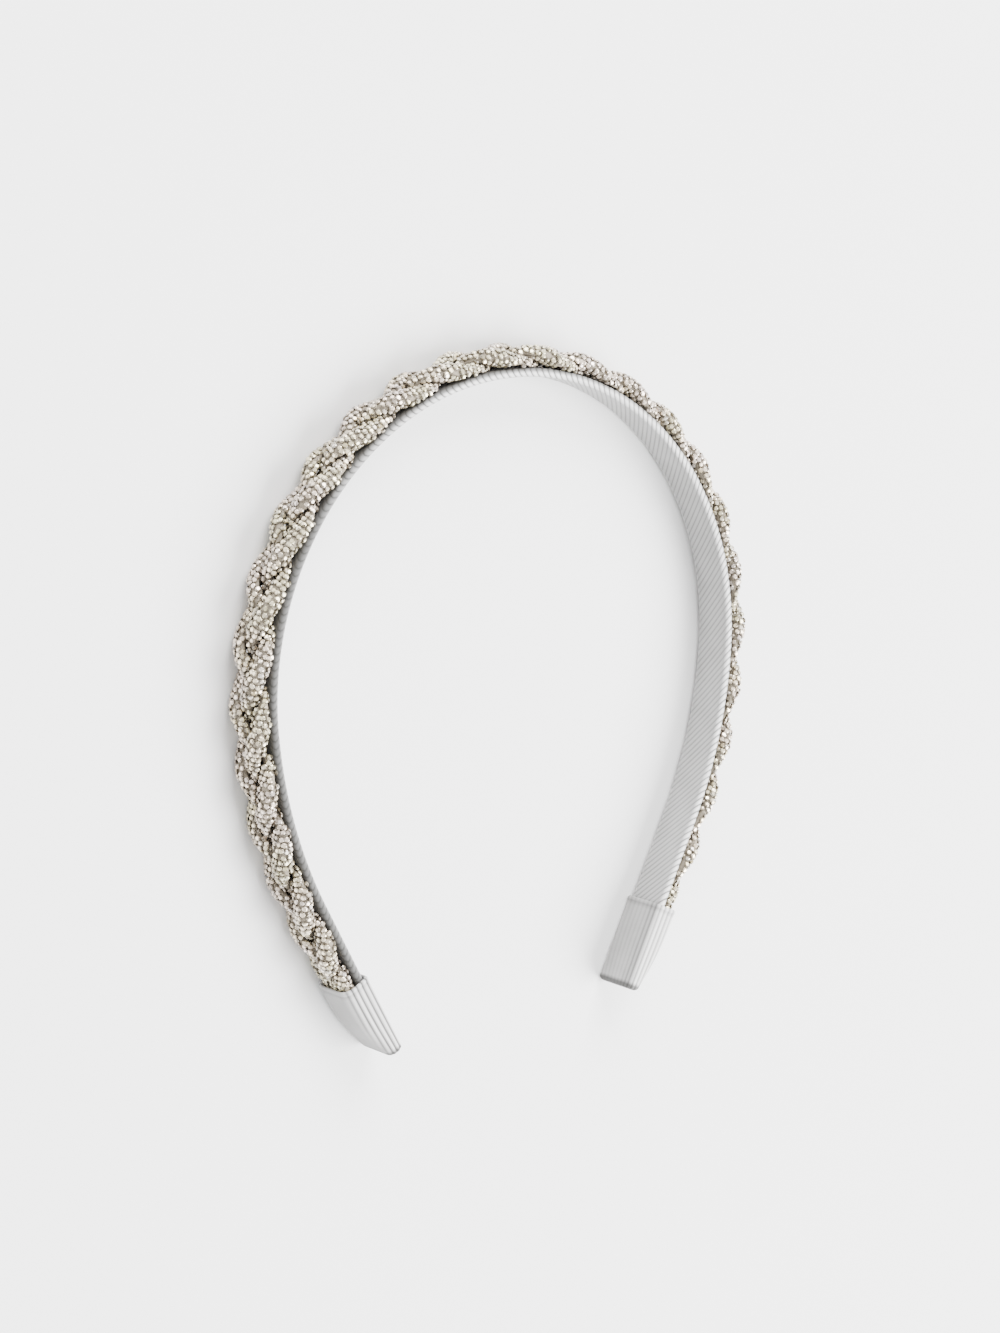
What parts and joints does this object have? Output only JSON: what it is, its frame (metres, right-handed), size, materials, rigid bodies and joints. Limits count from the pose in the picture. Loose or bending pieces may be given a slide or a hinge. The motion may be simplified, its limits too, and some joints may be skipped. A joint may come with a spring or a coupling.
{
  "type": "crystal headband",
  "caption": "Narrow hard hair band in ribbon, with crystal-covered ropes braided along its outer face and a tapered ribbon sleeve over each end.",
  "frame": {"origin": "under the middle of the headband's box, at the floor it lies on", "axes": "the arch lies on its side: +Y runs to the crown, +X from the left sleeve to the right one, and +Z is across the band, up to its front edge"},
  "size_m": [0.144, 0.1548, 0.0116],
  "materials": {
    "ribbon": "pale grey ribbon with fine ribs",
    "crystal": "small backed crystals, silvery cream"
  },
  "bodies": {
    "root": {"band": "ribbon", "strand_a": "crystal", "strand_b": "crystal", "strand_c": "crystal", "sleeve_left": "ribbon", "sleeve_right": "ribbon"}
  },
  "joints": []
}
